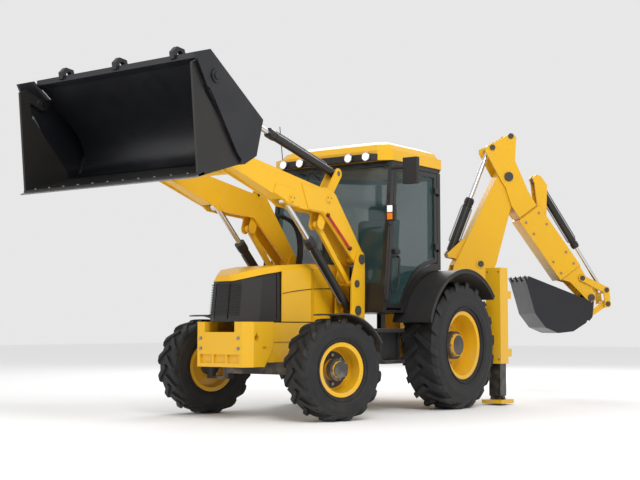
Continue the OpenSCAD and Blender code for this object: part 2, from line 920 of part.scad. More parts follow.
// stabilisers
module stabiliser(s) {
  color(black)
    scale([1, s, 1]) {
      difference() {
        box([stab_x - 73, stab_y - 73, 105], [stab_x + 73, stab_y + 73, 1580]);
        box([stab_x - 58, stab_y - 58, 130], [stab_x + 58, stab_y + 58, 1590]);
      }
      box([-1030, 890, 20], [-730, 1150, 60]);
      plate([[-960, 60], [-800, 60], [-820, 110], [-940, 110]], 960, 1080);
    }
}
module stabiliser_left() { stabiliser(1); }
module stabiliser_right() { stabiliser(-1); }

// backhoe
king_r = 46;
module carriage() {
  color(yellow)
    difference() {
      union() {
        box([-1150, shift_rest - 330, 553], [-1066, shift_rest + 330, 1345]);
        box([-1150, shift_rest - 330, 1330.3], [-950, shift_rest + 330, 1366]);
        box([-1150, shift_rest - 330, 520], [-950, shift_rest + 330, 554]);
        for (z = [560, 1230]) {
          translate([-slew_back, shift_rest, z])
            cylinder(r = 105, h = 70);
          box([-slew_back, shift_rest - 105, z], [-1140, shift_rest + 105, z + 70]);
        }
      }
      translate([-slew_back, shift_rest, 500])
        cylinder(r = king_r + 0.5, h = 900);
    }
}
cheek_in = 130;
cheek_out = 160;
module kingpost() {
  color(yellow)
    at_hoe() {
      difference() {
        union() {
          translate([0, 0, 636])
            cylinder(r = 100, h = 588);
          for (y = [cheek_in, -cheek_out])
            plate([[-60, 700], [120, 642], [190, 560], [300, 500], [400, 540], [420, 640],
              [380, 730], [200, 900],
              [260, 990], [240, 1090], [170, 1110], [-60, 1060]], y, y + cheek_out - cheek_in);
          box([-60, -cheek_out, 740], [60, cheek_out, 940]);
        }
        pin(boom_ram_base, 72, -cheek_in, cheek_in);
      }
      translate([0, 0, 555])
        cylinder(r = king_r, h = 90);
      translate([0, 0, 1215])
        cylinder(r = king_r, h = 90);
      pin(foot, 40, -cheek_out - 8, cheek_out + 8);
      pin(boom_ram_base, 34, -cheek_out - 8, cheek_out + 8);
    }
}
boom_pts = [[200, 560], [300, 520], [400, 560], [1100, 1710], [1370, 2660], [1400, 2840], [1340, 2960],
  [1240, 2990], [1160, 2930], [540, 1710], [352, 1090], [342, 990], [170, 720], [170, 610]];
boom_in = 85;
boom_out = 110;
module boom() {
  color(yellow)
    at_hoe()
      difference() {
        union() {
          for (y = [boom_in, -boom_out])
            plate(boom_pts, y, y + boom_out - boom_in);
          plate([[1000, 2420], [1290, 2420], [1330, 2560], [1080, 2560]], -boom_in, boom_in);
          plate([[540, 1710], [1160, 2930], [1180, 2918], [560, 1700]], -boom_in, boom_in);
          plate([[1100, 1710], [1370, 2660], [1350, 2664], [1080, 1716]], -boom_in, boom_in);
          for (y = [boom_in, -boom_out - 10])
            pin(boom_ram_pin, 60, y, y + boom_out - boom_in + 10);
          for (y = [60, -80])
            plate([[452, 1854], [472, 1804], [582, 1784], [742, 2074], [632, 2014],
              [522, 1914]], y, y + 20);
          pin(dip_ram_base, 30, -80, 80);
        }
        pin(foot, 40.5, -200, 200);
        pin(tip, 42.5, -200, 200);
      }
}
boom_tube = 820;
boom_bore = 82;
boom_rod_in = 205;
module boom_barrel() {
  color(black)
    at_hoe()
      difference() {
        union() {
          bar(boom_ram_base, boom_ram_pin, 62, 52, boom_tube);
          pin(boom_ram_base, 70, -40, 40);
        }
        bar(boom_ram_base, boom_ram_pin, 38, boom_bore, boom_tube + 10);
        pin(boom_ram_base, 34.5, -60, 60);
      }
}
module boom_rod() {
  color(steel)
    at_hoe()
      difference() {
        union() {
          bar(boom_ram_base, boom_ram_pin, 35, boom_rod_in, len2(boom_ram_base, boom_ram_pin) - 50);
          pin(boom_ram_pin, 62, -40, 40);
          pin(boom_ram_pin, 34, -boom_in + rod_play, boom_in - rod_play);
        }
      }
}
dip_tube = 775;
dip_bore = 57;
dip_rod_in = 725;
module dipper_barrel() {
  color(black)
    at_hoe()
      difference() {
        union() {
          bar(dip_ram_base, dip_ram_pin, 56, 38, dip_tube);
          pin(dip_ram_base, 50, -36, 36);
        }
        bar(dip_ram_base, dip_ram_pin, 34, dip_bore, dip_tube + 10);
        pin(dip_ram_base, 30.5, -60, 60);
      }
}
module dipper_rod() {
  color(steel)
    at_hoe()
      difference() {
        union() {
          bar(dip_ram_base, dip_ram_pin, 31, dip_rod_in, len2(dip_ram_base, dip_ram_pin) - 40);
          pin(dip_ram_pin, 46, -36, 36);
          pin(dip_ram_pin, 32, -116 + rod_play, 116 - rod_play);
        }
      }
}
module at_dip() {
  at_hoe()
    translate([tip[0], 0, tip[1]])
      rotate([0, -dip_angle, 0])
        children();
}
beam_half = 104;
module dipper_beam() {
  color(yellow)
    at_dip()
      difference() {
        union() {
          for (y = [116, -136])
            plate([[-490, -30], [-470, 110], [-440, 380], [-360, 400], [-120, 200], [300, 110],
              [520, 95], [520, -195],
              [330, -195], [100, -120], [-60, -110], [-440, -60]], y, y + 20);
          difference() {
            plate([[350, -150], [430, -190], [1470, -190], [1470, 92], [350, 92]], -beam_half, beam_half);
            plate([[520, -176], [1480, -176], [1480, 78], [520, 78]], -beam_half + 14, beam_half - 14);
          }
          plate([[360, -145], [430, -190], [500, -190], [500, 92], [360, 92]], -126, 126);
          pin([0, 0], 42, -142, 142);
          for (y = [116, -142])
            pin([-434, 44], 44, y, y + 26);
          pin([-413, 343], 26, -142, 142);
        }
      }
}
module dipper_sleeve() {
  color(yellow)
    at_dip()
      difference() {
        union() {
          difference() {
            plate([[545, -222], [1500, -222], [1500, 122], [545, 122]], -136, 136);
            plate([[600, -197], [1478, -197], [1478, 99], [600, 99]], -110, 110);
            plate([[540, -190.4], [610, -190.4], [610, 92.4],
              [540, 92.4]], -beam_half - 0.4, beam_half + 0.4);
          }
          for (y = [90, -110])
            plate([[1490, -210], [1600, -120], [1900, -70], [1990, -40], [2000, 30], [1950, 70],
              [1720, 100], [1490, 122]],
              y, y + 20);
          plate([[1490, -170], [1600, -90], [1600, 60], [1490, 60]], -95, 95);
          for (y = [52, -72])
            plate([[550, 118], [760, 118], [400, 400], [262, 400], [200, 360], [210, 290],
              [280, 270]], y, y + 20);
          pin([262, 330], 28, -72, 72);
          pin([1656, 43], 30, -116, 116);
        }
        pin([1938, 0], 32.5, -200, 200);
      }
}
bram_tube = 1050;
module bucket_barrel() {
  color(black)
    at_hoe()
      difference() {
        union() {
          bar(bucket_ram_base, pin_e, 46, 35, bram_tube);
          pin(bucket_ram_base, 48, -48, 48);
        }
        bar(bucket_ram_base, pin_e, 28, 110, bram_tube + 10);
        pin(bucket_ram_base, 28.5, -60, 60);
      }
}
module bucket_rod() {
  color(steel)
    at_hoe()
      difference() {
        union() {
          bar(bucket_ram_base, pin_e, 25, 800, len2(bucket_ram_base, pin_e) - 40);
          pin(pin_e, 46, -30, 30);
          pin(pin_e, 26, -120 + rod_play, 120 - rod_play);
        }
      }
}
module tipping_link() {
  color(yellow)
    at_hoe()
      difference() {
        union() {
          for (y = [120, -140]) {
            strap(pin_a, pin_e, 80, y, y + 20);
            strap(pin_e, pin_b, 80, y, y + 20);
            for (p = [pin_a, pin_e, pin_b])
              pin(p, 46, y, y + 20);
          }
          for (y = [120, -146])
            pin(pin_e, 38, y, y + 26);
          pin(pin_b, 28, -140, 140);
        }
        pin(pin_a, 30.5, -200, 200);
      }
}
module tie_link() {
  color(yellow)
    at_hoe()
      difference() {
        union() {
          strap(pin_b, pin_c, 70, -60, 60);
          pin(pin_b, 48, -60, 60);
          pin(pin_c, 48, -60, 60);
          pin(pin_c, 30, -66 + rod_play, 66 - rod_play);
        }
        pin(pin_b, 28.5, -200, 200);
      }
}
d_half = dig_w / 2;
dig_side = [[1480, 1560], [1440, 1500], [1560, 1080], [1700, 900], [1876, 828], [2080, 850], [2260, 960],
  [2340, 1130], [2330, 1240], [2180, 1300]];
dig_in = [[1500, 1575], [1462, 1505], [1582, 1092], [1714, 920], [1878, 850], [2072, 872], [2242, 975],
  [2316, 1130], [2306, 1240], [2200, 1320], [1900, 1600]];
module dig_bucket() {
  color(grey)
    at_hoe() {
      difference() {
        union() {
          difference() {
            plate(dig_side, -d_half, d_half);
            plate(dig_in, -d_half + 22, d_half - 22);
          }
          for (y = [66, -86])
            plate([[2240, 1240], [2310, 1120], [2300, 1000], [2400, 990], [2440, 1040],
              [2470, 1290], [2420, 1350], [2370, 1340]],
              y, y + 20);
          for (y = [66, -96])
            pin(pin_c, 40, y, y + 30);
          pin(pin_d, 32, -116, 116);
          for (y = [-250, -83, 83, 250])
            plate([[1462, 1440], [1494, 1450], [1432, 1570], [1412, 1550]], y - 30, y + 30);
        }
      }
    }
}

main_frame();
engine_block();
bonnet();
grille();
nose_weight();
axles();
side_boxes();
interior();
cab_shell();
cab_glass();
roof();
visor();
rear_mudguards();
mirrors();
door_left();
door_glass_left();
door_right();
door_glass_right();
knuckle_left();
knuckle_right();
front_rim_left();
front_rim_right();
front_tyre_left();
front_tyre_right();
rear_rim_left();
rear_rim_right();
rear_tyre_left();
rear_tyre_right();
loader_arms();
tip_levers();
levelling_links();
lift_barrels();
lift_rods();
tilt_barrels();
tilt_rods();
bucket_pins();
tilt_pins();
mouldboard();
clam();
stabiliser_left();
stabiliser_right();
carriage();
kingpost();
boom();
boom_barrel();
boom_rod();
dipper_barrel();
dipper_rod();
dipper_beam();
dipper_sleeve();
bucket_barrel();
bucket_rod();
tipping_link();
tie_link();
dig_bucket();
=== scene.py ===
import math

import bmesh
import bpy
from mathutils import Matrix, Vector


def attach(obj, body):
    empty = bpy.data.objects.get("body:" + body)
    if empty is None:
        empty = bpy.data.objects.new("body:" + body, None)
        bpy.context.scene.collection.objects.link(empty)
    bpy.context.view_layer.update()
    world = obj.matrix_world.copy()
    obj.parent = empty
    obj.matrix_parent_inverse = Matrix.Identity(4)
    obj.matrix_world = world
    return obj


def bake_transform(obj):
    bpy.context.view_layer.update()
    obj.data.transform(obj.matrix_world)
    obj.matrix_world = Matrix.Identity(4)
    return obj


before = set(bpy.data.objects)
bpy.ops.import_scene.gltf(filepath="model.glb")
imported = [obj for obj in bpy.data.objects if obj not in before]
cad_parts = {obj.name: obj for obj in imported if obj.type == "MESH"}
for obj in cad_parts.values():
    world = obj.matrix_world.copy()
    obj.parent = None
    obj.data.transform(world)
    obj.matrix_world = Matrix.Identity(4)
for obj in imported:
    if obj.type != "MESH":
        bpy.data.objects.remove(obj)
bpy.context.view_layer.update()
scene = bpy.context.scene
scene.view_settings.view_transform = "Standard"


# Shader arithmetic: a socket that adds, multiplies, blends two colours and feeds any node, so that each
# finish below reads as the sum of its base colour, its dust and its scratches.
class Wire:
    def __init__(self, tree, out):
        self.tree, self.out = tree, out

    def join(self, value, socket):
        if isinstance(value, Wire):
            self.tree.links.new(value.out, socket)
        elif isinstance(value, tuple):
            socket.default_value = (*value, 1.0)
        else:
            socket.default_value = value

    def node(self, kind, *given, pick=0, **settings):
        n = self.tree.nodes.new(kind)
        for key, value in settings.items():
            if key in n.inputs:
                self.join(value, n.inputs[key])
            else:
                setattr(n, key, value)
        for socket, value in zip(n.inputs, given):
            self.join(value, socket)
        return Wire(self.tree, n.outputs[pick])

    def maths(self, op, a, b):
        return self.node("ShaderNodeMath", a, b, operation=op)

    def __add__(self, o): return self.maths("ADD", self, o)
    def __radd__(self, o): return self.maths("ADD", o, self)
    def __rsub__(self, o): return self.maths("SUBTRACT", o, self)
    def __mul__(self, o): return self.maths("MULTIPLY", self, o)
    def __rmul__(self, o): return self.maths("MULTIPLY", o, self)

    def step(self, low, high):
        return self.node("ShaderNodeMapRange", self, low, high, 0.0, 1.0, interpolation_type="SMOOTHSTEP")

    def noise(self, scale, detail=3.0):
        return self.node("ShaderNodeTexNoise", Vector=self, Scale=scale, Detail=detail)

    def height(self):
        return self.node("ShaderNodeSeparateXYZ", self, pick=2)

    def between(self, a, b):
        n = self.tree.nodes.new("ShaderNodeMix")
        n.data_type = "RGBA"
        for index, value in ((0, self), (6, a), (7, b)):
            self.join(value, n.inputs[index])
        return Wire(self.tree, n.outputs[2])

    def feed(self, shader, name):
        self.tree.links.new(self.out, shader.inputs[name])


def finish_of(name, rough, metal=0.0, coat=0.0, slot=None):
    material = bpy.data.materials.new(name)
    if slot:
        material["slot"] = slot
    material.use_nodes = True
    shader = material.node_tree.nodes["Principled BSDF"]
    shader.inputs["Roughness"].default_value = rough
    shader.inputs["Metallic"].default_value = metal
    shader.inputs["Coat Weight"].default_value = coat
    geometry = material.node_tree.nodes.new("ShaderNodeNewGeometry")
    return material, shader, Wire(material.node_tree, geometry.outputs["Position"])


def dress(material, *names):
    for name in names:
        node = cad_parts[name]
        node.data.materials.clear()
        node.data.materials.append(material)


# Yellow paint: chassis, bonnet, roof, arms and backhoe. Satin coat, slightly uneven, with a film of
# pale dust that thickens towards the ground and a few rubbed places.
def paint(name, slot, base, rough, amount, coat=0.15):
    dust, dust_full, dust_none = (0.46, 0.39, 0.29), 0.15, 0.9
    material, shader, place = finish_of(name, rough, 0.0, coat, slot)
    near_ground = 1.0 - place.height().step(dust_full, dust_none)
    grime = (place.noise(5.0, 6.0).step(0.42, 0.72) * near_ground + 0.16 * place.noise(1.7, 4.0)) * amount
    rub = place.noise(38.0, 8.0).step(0.66, 0.74) * place.noise(3.0).step(0.5, 0.66) * 0.35
    tone = place.noise(0.9, 2.0).between(base, tuple(c * 0.88 for c in base))
    tone = grime.between(tone, dust)
    tone = rub.between(tone, tuple(c * 0.45 for c in base))
    tone.feed(shader, "Base Color")
    (rough + 0.3 * grime + 0.05 * place.noise(14.0)).feed(shader, "Roughness")
    place.node("ShaderNodeBevel", samples=3, Radius=0.005).feed(shader, "Normal")
    shader.inputs["Specular IOR Level"].default_value = 0.3
    return material


yellow = paint("yellow_paint", "body_paint", (0.80, 0.435, 0.004), 0.34, 0.34)
dress(yellow, "main_frame", "bonnet", "nose_weight", "roof", "loader_arms", "tip_levers", "levelling_links",
      "carriage", "kingpost", "boom", "dipper_beam", "dipper_sleeve", "tipping_link", "tie_link",
      "front_rim_left", "front_rim_right", "rear_rim_left", "rear_rim_right")

# Black paint and plastic: cab frame, doors, guards, legs and ram tubes. The plastic is rougher and greyer
# than the paint, and both pick up the same dust low down.
black = paint("black_paint", "black_paint", (0.008, 0.008, 0.009), 0.34, 0.22)
plastic = paint("dark_plastic", "dark_plastic", (0.013, 0.013, 0.015), 0.48, 0.28, coat=0.0)
dress(black, "cab_shell", "door_left", "door_right", "stabiliser_left", "stabiliser_right", "lift_barrels",
      "tilt_barrels", "boom_barrel", "dipper_barrel", "bucket_barrel", "clam")
dress(plastic, "grille", "visor", "interior", "rear_mudguards", "mirrors", "side_boxes")

# Castings: engine, axles and steering knuckles. Dark grey and rough from the mould, without a coat,
# so they hold more dust than the painted parts.
cast = paint("cast_grey", "cast_parts", (0.035, 0.035, 0.038), 0.6, 0.6, coat=0.0)
dress(cast, "engine_block", "axles", "knuckle_left", "knuckle_right")

# Bucket paint: a near-black blue on mouldboard and digging bucket, worn to bare metal in patches
# and fine scratches where earth slides over it.
bucket_paint, shader, place = finish_of("bucket_paint", 0.42, slot="bucket_paint")
wear = place.noise(2.2, 8.0).step(0.55, 0.75) * 0.4 + place.noise(30.0, 6.0).step(0.62, 0.72) * 0.2
wear.between((0.006, 0.0065, 0.009), (0.04, 0.04, 0.043)).feed(shader, "Base Color")
(wear * 0.6).feed(shader, "Metallic")
(0.26 + 0.2 * place.noise(9.0)).feed(shader, "Roughness")
place.node("ShaderNodeBevel", samples=3, Radius=0.005).feed(shader, "Normal")
dress(bucket_paint, "mouldboard", "dig_bucket")

# Chrome rods and steel pins: the rods are bright, with a faint film of oil; the pins are
# ground steel, duller and stained.
chrome, shader, place = finish_of("rod_chrome", 0.12, 1.0, slot="rod_chrome")
place.noise(20.0).between((0.72, 0.73, 0.75), (0.6, 0.6, 0.61)).feed(shader, "Base Color")
(0.08 + 0.14 * place.noise(60.0)).feed(shader, "Roughness")
dress(chrome, "lift_rods", "tilt_rods", "boom_rod", "dipper_rod", "bucket_rod")
steel, shader, place = finish_of("pin_steel", 0.4, 0.9, slot="pin_steel")
place.noise(45.0, 5.0).between((0.33, 0.33, 0.34), (0.16, 0.15, 0.14)).feed(shader, "Base Color")
(0.32 + 0.2 * place.noise(30.0)).feed(shader, "Roughness")
dress(steel, "bucket_pins", "tilt_pins")

# Tyres: matt rubber, greyed by dust on the lugs and most of all on the lower wall.
# The hoses and seals further down use the same rubber.
rubber, shader, place = finish_of("tyre_rubber", 0.75, slot="tyre_rubber")
near_ground = 1.0 - place.height().step(0.0, 0.5)
film = place.noise(9.0, 6.0).step(0.35, 0.8) * (0.35 + 0.5 * near_ground)
film.between((0.006, 0.006, 0.007), (0.034, 0.031, 0.027)).feed(shader, "Base Color")
(0.66 + 0.25 * film).feed(shader, "Roughness")
place.node("ShaderNodeBevel", samples=3, Radius=0.007).feed(shader, "Normal")
dress(rubber, "front_tyre_left", "front_tyre_right", "rear_tyre_left", "rear_tyre_right")

# Glass: thin tinted panes in cab and doors, green-blue, clear enough to show the seat and
# the steering wheel behind them.
glass, shader, place = finish_of("tinted_glass", 0.04, slot="tinted_glass")
place.noise(0.8).between((0.035, 0.075, 0.075), (0.025, 0.06, 0.065)).feed(shader, "Base Color")
(0.03 + 0.03 * place.noise(6.0)).feed(shader, "Roughness")
(0.40 + 0.10 * place.noise(1.3)).feed(shader, "Alpha")
dress(glass, "cab_glass", "door_glass_left", "door_glass_right")


# Wheel fittings: hexagon nuts round each dish, a dark cast hub cap with its own bolts, a dark plate on
# the front dishes and raised ribs round the tyre wall. All are made about the wheel's own axle and
# turn with it.
def piece(name, body, material, bm, smooth=False):
    mesh = bpy.data.meshes.new(name)
    bmesh.ops.recalc_face_normals(bm, faces=bm.faces)
    bm.to_mesh(mesh)
    bm.free()
    mesh.materials.append(material)
    if smooth:
        for p in mesh.polygons:
            p.use_smooth = True
    obj = bpy.data.objects.new(name, mesh)
    scene.collection.objects.link(obj)
    if body:
        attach(obj, body)
    return obj


def drums(name, body, material, rods, sides=24):
    bm = bmesh.new()
    for a, b, r in rods:
        a, b = Vector(a), Vector(b)
        turn = (b - a).to_track_quat("Z", "Y").to_matrix().to_4x4()
        bmesh.ops.create_cone(bm, cap_ends=True, segments=sides, radius1=r, radius2=r, depth=(b - a).length,
                              matrix=Matrix.Translation((a + b) / 2) @ turn)
    return piece(name, body, material, bm)


def rings(name, body, material, loops, thick, sides=48):
    bm = bmesh.new()
    corners = [math.pi * k / 3 for k in range(6)]
    for at, r in loops:
        section = [(r + thick * math.cos(t), thick * math.sin(t)) for t in corners]
        grid = []
        for i in range(sides):
            a = 2 * math.pi * i / sides
            grid.append([bm.verts.new(at @ Vector((out * math.cos(a), y, out * math.sin(a))))
                         for out, y in section])
        for i in range(sides):
            for k in range(len(corners)):
                bm.faces.new((grid[i][k], grid[i - 1][k], grid[i - 1][k - 1], grid[i][k - 1]))
    return piece(name, body, material, bm, smooth=True)


def around(count, r):
    turns = [2 * math.pi * i / count for i in range(count)]
    return [(r * math.cos(a), r * math.sin(a)) for a in turns]


# A bar along the axle, from y0 to y1 outwards of the wheel's middle plane.
def on_axle(at, s, y0, y1, r, x=0.0, z=0.0):
    return at @ Vector((x, s * y0, z)), at @ Vector((x, s * y1, z)), r


wheelbase, king_y, king_to_hub, steer_deg = 2.17, 0.74, 0.13, -17
front_r, rear_r, rear_y = 0.495, 0.705, 0.88
for side, s in (("left", 1), ("right", -1)):
    steered = (Matrix.Translation((wheelbase, s * king_y, front_r))
               @ Matrix.Rotation(math.radians(steer_deg), 4, "Z")
               @ Matrix.Translation((0, s * king_to_hub, 0)))
    straight = Matrix.Translation((0, s * rear_y, rear_r))
    for axle, at, dish, hub_r, hub, nuts, nut_r, rib_r, wall in (
            ("front", steered, -0.030, 0.105, 0.125, 8, 0.140, (0.30, 0.34, 0.40), 0.166),
            ("rear", straight, -0.040, 0.150, 0.120, 10, 0.215, (0.42, 0.47, 0.56), 0.216)):
        body = "%s_wheel_%s" % (axle, side)
        drums("%s_nuts" % body, body, steel,
              [on_axle(at, s, dish, dish + 0.024, 0.017, x, z) for x, z in around(nuts, nut_r)], 6)
        drums("%s_hub_cap" % body, body, cast,
              [on_axle(at, s, dish + 0.06, hub - 0.028, hub_r + 0.004),
               on_axle(at, s, hub - 0.028, hub + 0.004, hub_r * 0.74)], 32)
        drums("%s_hub_bolts" % body, body, steel,
              [on_axle(at, s, hub - 0.03, hub - 0.016, 0.009, x, z)
               for x, z in around(8, hub_r * 0.86)], 6)
        if axle == "front":
            drums("%s_dish_plate" % body, body, cast,
                  [on_axle(at, s, dish - 0.002, dish + 0.010, 0.178)], 40)
        rings("%s_wall_ribs" % body, body, rubber,
              [(at @ Matrix.Translation((0, s * wall, 0)), r) for r in rib_r], 0.006)


# Cab fittings: round work lamps under the roof peak, mirror faces, grab rails, door handles and seals,
# side lamps on the front posts, lips on the rear mudguards, a wiper and a whip aerial at the right.
def block(name, body, material, low, high, soft=0.006, steps=2):
    bm = bmesh.new()
    bmesh.ops.create_cube(bm, size=1.0)
    low, high = Vector(low), Vector(high)
    for v in bm.verts:
        v.co = Vector((low[i] + (v.co[i] + 0.5) * (high[i] - low[i]) for i in range(3)))
    bmesh.ops.bevel(bm, geom=bm.edges[:], offset=soft, segments=steps, affect="EDGES", profile=0.5)
    return piece(name, body, material, bm)


def hose(name, bodies, material, points, r, sides=10):
    steps = 8
    pts = [Vector(p) for p in points]
    pts = [2 * pts[0] - pts[1]] + pts + [2 * pts[-1] - pts[-2]]
    path = []
    for i in range(1, len(pts) - 2):
        p0, p1, p2, p3 = pts[i - 1:i + 3]
        for t in (k / steps for k in range(steps)):
            path.append(0.5 * (2 * p1 + (p2 - p0) * t + (2 * p0 - 5 * p1 + 4 * p2 - p3) * t * t
                               + (3 * p1 - p0 - 3 * p2 + p3) * t ** 3))
    path.append(pts[-2])
    bm = bmesh.new()
    up = (path[1] - path[0]).orthogonal().normalized()
    rows = []
    for i, p in enumerate(path):
        along = (path[min(i + 1, len(path) - 1)] - path[max(i - 1, 0)]).normalized()
        up = (up - along * up.dot(along)).normalized()
        out = along.cross(up)
        rows.append([bm.verts.new(p + r * (math.cos(a) * up + math.sin(a) * out))
                     for a in (2 * math.pi * k / sides for k in range(sides))])
    for a, b in zip(rows, rows[1:]):
        for k in range(sides):
            bm.faces.new((a[k - 1], a[k], b[k], b[k - 1]))
    bm.faces.new(rows[0])
    bm.faces.new(rows[-1])
    if isinstance(bodies, str):
        return piece(name, bodies, material, bm, smooth=True)
    obj = piece(name, None, material, bm, smooth=True)
    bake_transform(obj)
    return obj


lamp_glass, shader, place = finish_of("lamp_glass", 0.08)
place.noise(40.0).between((0.92, 0.93, 0.95), (0.75, 0.77, 0.8)).feed(shader, "Base Color")
shader.inputs["Emission Color"].default_value = (1, 1, 1, 1)
shader.inputs["Emission Strength"].default_value = 0.25
amber, shader, place = finish_of("amber_lens", 0.15)
place.noise(60.0).between((0.9, 0.25, 0.01), (0.75, 0.16, 0.01)).feed(shader, "Base Color")
mirror_face, shader, place = finish_of("mirror_face", 0.03, 1.0)
place.noise(3.0).between((0.8, 0.82, 0.84), (0.72, 0.75, 0.78)).feed(shader, "Base Color")

lamp_z, lamps = 2.725, (-0.56, -0.33, 0.33, 0.56)
to_front = Matrix.Rotation(math.pi / 2, 4, "Z")
drums("work_lamp_glass", "chassis", lamp_glass,
      [((1.18, y, lamp_z), (1.189, y, lamp_z), 0.041) for y in lamps], 32)
rings("work_lamp_rims", "chassis", chrome,
      [(Matrix.Translation((1.187, y, lamp_z)) @ to_front, 0.044) for y in lamps], 0.005, 32)
drums("rear_lamp_glass", "chassis", lamp_glass,
      [((-0.545, y, 2.74), (-0.557, y, 2.74), 0.05) for y in (-0.3, 0.3)], 32)

mirror_y, post_y, door_y, seal_y = 1.015, 0.80, 0.783, 0.776
lamp_box_y, lamp_y = 0.8275, 0.827
lip_r, lip_y = 0.838, 1.118
for side, s in (("left", 1), ("right", -1)):
    door = "door_%s" % side
    block("mirror_face_%s" % side, "chassis", mirror_face,
          (0.964, s * mirror_y - 0.07, 2.435), (0.971, s * mirror_y + 0.07, 2.685), 0.003)
    hose("grab_rail_%s" % side, "chassis", plastic,
         [(1.175, s * post_y, 1.18), (1.20, s * 0.835, 1.24), (1.165, s * 0.84, 1.6),
          (1.125, s * 0.835, 1.93), (1.09, s * post_y, 1.99)], 0.014)
    hose("door_rail_%s" % side, door, plastic,
         [(1.01, s * door_y, 1.3), (0.99, s * 0.83, 1.33),
          (0.955, s * 0.835, 1.62), (0.93, s * door_y, 1.66)], 0.012)
    block("door_handle_%s" % side, door, plastic,
          (0.90, s * post_y - 0.018, 1.685), (1.00, s * post_y + 0.018, 1.735), 0.008)
    hose("door_seal_%s" % side, door, rubber,
         [(0.135, s * seal_y, 2.58), (0.138, s * seal_y, 2.1), (0.138, s * seal_y, 1.70)], 0.007)
    block("side_lamp_box_%s" % side, "chassis", plastic,
          (1.075, s * lamp_box_y - 0.0575, 2.03), (1.125, s * lamp_box_y + 0.0575, 2.20), 0.008)
    for glow, lens, z0, z1 in (("white", lamp_glass, 2.12, 2.19), ("amber", amber, 2.04, 2.11)):
        block("side_lamp_%s_%s" % (glow, side), "chassis", lens,
              (1.124, s * lamp_y - 0.032, z0), (1.132, s * lamp_y + 0.032, z1), 0.003)
    arc = [math.radians(d) for d in range(19, 141, 10)]
    hose("mudguard_lip_%s" % side, "chassis", plastic,
         [(lip_r * math.cos(a), s * lip_y, rear_r + lip_r * math.sin(a)) for a in arc], 0.011, 8)
hose("wiper_arm", "chassis", plastic,
     [(1.175, 0.12, 1.36), (1.155, 0.05, 1.62), (1.11, -0.06, 1.98)], 0.008, 8)
block("wiper_blade", "chassis", rubber, (1.085, -0.075, 1.72), (1.10, -0.045, 2.2), 0.004)
drums("aerial", "chassis", plastic, [((0.98, -0.72, 2.66), (0.98, -0.72, 2.74), 0.018),
                                     ((0.98, -0.72, 2.74), (1.02, -0.74, 3.2), 0.005)], 10)

# Operator's seat: foam cushion and backrest in dark woven cloth over the seat box,
# with a small headrest. Seen through the glass.
seat_cloth, shader, place = finish_of("seat_cloth", 0.9)
weave = place.node("ShaderNodeTexWave", Vector=place, Scale=90.0, Distortion=2.0)
(weave * 0.5).between((0.03, 0.03, 0.034), (0.075, 0.075, 0.08)).feed(shader, "Base Color")
(0.82 + 0.12 * weave).feed(shader, "Roughness")
for name, low, high in (("seat_cushion", (0.10, -0.24, 1.52), (0.55, 0.24, 1.64)),
                        ("seat_backrest", (0.08, -0.23, 1.62), (0.21, 0.23, 2.14)),
                        ("seat_headrest", (0.03, -0.14, 2.13), (0.13, 0.14, 2.32))):
    block(name, "chassis", seat_cloth, low, high, 0.045, 4)


# Nose: slats across the three grille panels, which lean back and sweep aside from the middle,
# cap screws in the weight below, and the seam along the bonnet's left side.
def grille_x(y, z):
    return 2.885 - (z - 0.958) * 0.070 / 0.542 - max(0.0, abs(y) - 0.08) * 0.5


slats = []
for z in (1.03 + 0.024 * i for i in range(13)):
    for y0, y1 in ((0.086, 0.19), (-0.19, -0.1), (-0.072, 0.07)):
        slats.append(((grille_x(y0, z) + 0.001, y0, z), (grille_x(y1, z) + 0.001, y1, z), 0.006))
drums("grille_slats", "chassis", plastic, slats, 8)
drums("nose_screws", "chassis", steel,
      [((2.893, y, z), (2.906, y, z), 0.016) for y in (-0.24, 0.24) for z in (0.70, 0.80)], 6)
hose("bonnet_seam", "bonnet", rubber,
     [(1.26, 0.287, 1.32), (1.74, 0.29, 1.30), (1.85, 0.331, 1.295),
      (2.1, 0.331, 1.27), (2.325, 0.331, 1.24)], 0.0035, 6)

# Step treads: bare steel plates on the two steps below each door,
# rubbed bright by boots.
for side, s in (("left", 1), ("right", -1)):
    for k, (x1, z) in enumerate(((1.185, 0.549), (1.335, 0.884))):
        y0, y1 = sorted((s * 0.705, s * 0.797))
        block("step_tread_%s_%d" % (side, k), "chassis", steel,
              (0.805, y0, z), (x1, y1, z + 0.006), 0.002, 1)


# Loader rams and pipes: gland nuts, feed pipes along the tubes, hoses from the towers to the arms and
# on to the tip levers, screws and caps on the pins, and the red safety strut clipped to the left arm.
# on_ram() gives a point so far along a ram from its base pin, and so far above its axis.
def on_ram(pins, y, far, up=0.0):
    a, b = (Vector((x, y, z)) for x, z in pins)
    u = (b - a).normalized()
    return a + u * far + Vector((-u.z, 0, u.x)) * up


